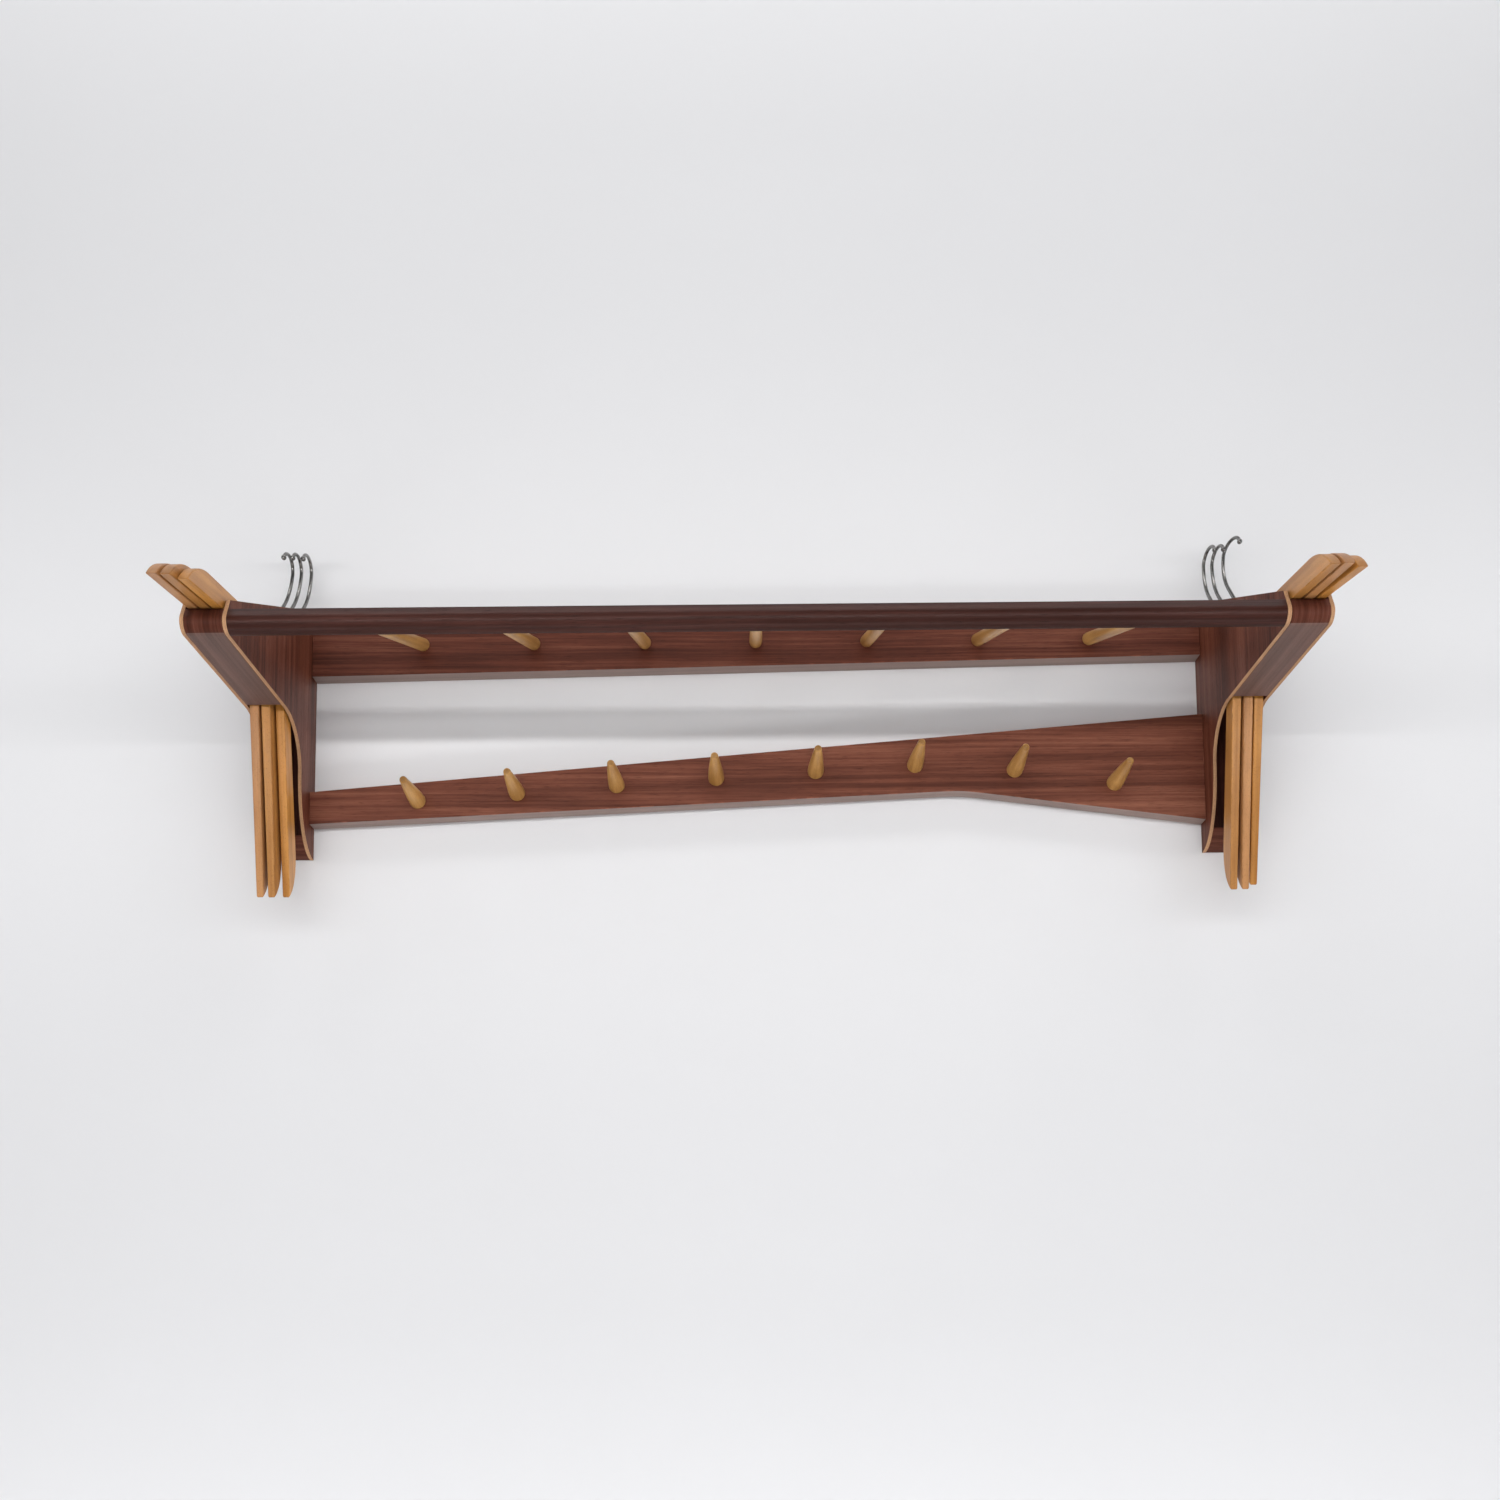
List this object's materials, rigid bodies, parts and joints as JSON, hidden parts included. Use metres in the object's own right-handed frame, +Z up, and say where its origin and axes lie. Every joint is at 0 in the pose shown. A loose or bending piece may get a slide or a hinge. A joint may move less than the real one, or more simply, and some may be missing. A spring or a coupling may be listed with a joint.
{
  "type": "wall hat and coat rack",
  "caption": "Wall-mounted wooden hat and coat rack: slatted shelf, turned pegs on a tapered rail, and a plywood box of V-shaped hangers at each end.",
  "frame": {"origin": "on the wall plane, half way between the two wall screws in the upper rail", "axes": "+X along the rack to the viewer's right, +Y into the wall, +Z up; the front faces -Y"},
  "size_m": [1.152, 0.3773, 0.4333],
  "materials": {
    "mahogany": "satin oiled",
    "veneered_ply": "satin veneer on bare ply edges",
    "veneer_strip": "satin",
    "dark_board": "matt stain",
    "beech": "satin lacquer",
    "beech_turned": "satin lacquer",
    "steel_wire": "worn bright wire",
    "brass_screw": "dull"
  },
  "bodies": {
    "rack": {"left_outer_cheek": "veneered_ply", "left_inner_cheek": "veneered_ply", "right_outer_cheek": "veneered_ply", "right_inner_cheek": "veneered_ply", "left_tray_floor": "veneer_strip", "left_back_board": "dark_board", "left_toe_block": "veneer_strip", "right_tray_floor": "veneer_strip", "right_back_board": "dark_board", "right_toe_block": "veneer_strip", "left_cheek_screws": "brass_screw", "right_cheek_screws": "brass_screw", "upper_rail": "mahogany", "lower_rail": "mahogany", "front_bar": "mahogany", "shelf_rung_1": "beech_turned", "shelf_rung_2": "beech_turned", "shelf_rung_3": "beech_turned", "shelf_rung_4": "beech_turned", "shelf_rung_5": "beech_turned", "shelf_rung_6": "beech_turned", "shelf_rung_7": "beech_turned", "coat_peg_1": "beech_turned", "coat_peg_2": "beech_turned", "coat_peg_3": "beech_turned", "coat_peg_4": "beech_turned", "coat_peg_5": "beech_turned", "coat_peg_6": "beech_turned", "coat_peg_7": "beech_turned", "coat_peg_8": "beech_turned"},
    "left_hanger_1": {"left_hanger_1": "beech"},
    "left_hook_1": {"left_hook_1": "steel_wire"},
    "left_hanger_2": {"left_hanger_2": "beech"},
    "left_hook_2": {"left_hook_2": "steel_wire"},
    "left_hanger_3": {"left_hanger_3": "beech"},
    "left_hook_3": {"left_hook_3": "steel_wire"},
    "right_hanger_1": {"right_hanger_1": "beech"},
    "right_hook_1": {"right_hook_1": "steel_wire"},
    "right_hanger_2": {"right_hanger_2": "beech"},
    "right_hook_2": {"right_hook_2": "steel_wire"},
    "right_hanger_3": {"right_hanger_3": "beech"},
    "right_hook_3": {"right_hook_3": "steel_wire"}
  },
  "joints": [
    {"name": "left_hanger_1_lift", "type": "slide", "parent": "rack", "child": "left_hanger_1", "axis": [0, 0, 1], "range_m": [0, 0.14]},
    {"name": "left_hook_1_swivel", "type": "hinge", "parent": "left_hanger_1", "child": "left_hook_1", "pos_m": [-0.53775, -0.06795, -0.02957], "axis": [0.0384, 0.5803, 0.8135], "range_deg": [-3, 60]},
    {"name": "left_hanger_2_lift", "type": "slide", "parent": "rack", "child": "left_hanger_2", "axis": [0, 0, 1], "range_m": [0, 0.14]},
    {"name": "left_hook_2_swivel", "type": "hinge", "parent": "left_hanger_2", "child": "left_hook_2", "pos_m": [-0.54893, -0.07765, -0.03311], "axis": [0.0576, 0.5868, 0.8077], "range_deg": [-3, 3]},
    {"name": "left_hanger_3_lift", "type": "slide", "parent": "rack", "child": "left_hanger_3", "axis": [0, 0, 1], "range_m": [0, 0.14]},
    {"name": "left_hook_3_swivel", "type": "hinge", "parent": "left_hanger_3", "child": "left_hook_3", "pos_m": [-0.56033, -0.07969, -0.03348], "axis": [-0.0732, -0.5862, -0.8068], "range_deg": [-3, 60]},
    {"name": "right_hanger_1_lift", "type": "slide", "parent": "rack", "child": "right_hanger_1", "axis": [0, 0, 1], "range_m": [0, 0.14]},
    {"name": "right_hook_1_swivel", "type": "hinge", "parent": "right_hanger_1", "child": "right_hook_1", "pos_m": [0.53775, -0.07661, -0.03291], "axis": [0.0384, -0.5874, -0.8084], "range_deg": [-3, 60]},
    {"name": "right_hanger_2_lift", "type": "slide", "parent": "rack", "child": "right_hanger_2", "axis": [0, 0, 1], "range_m": [0, 0.14]},
    {"name": "right_hook_2_swivel", "type": "hinge", "parent": "right_hanger_2", "child": "right_hook_2", "pos_m": [0.54904, -0.07864, -0.03327], "axis": [-0.0558, 0.5869, 0.8078], "range_deg": [-3, 3]},
    {"name": "right_hanger_3_lift", "type": "slide", "parent": "rack", "child": "right_hanger_3", "axis": [0, 0, 1], "range_m": [0, 0.14]},
    {"name": "right_hook_3_swivel", "type": "hinge", "parent": "right_hanger_3", "child": "right_hook_3", "pos_m": [0.56033, -0.08103, -0.02623], "axis": [-0.0732, 0.5577, 0.8268], "range_deg": [-3, 60]}
  ]
}
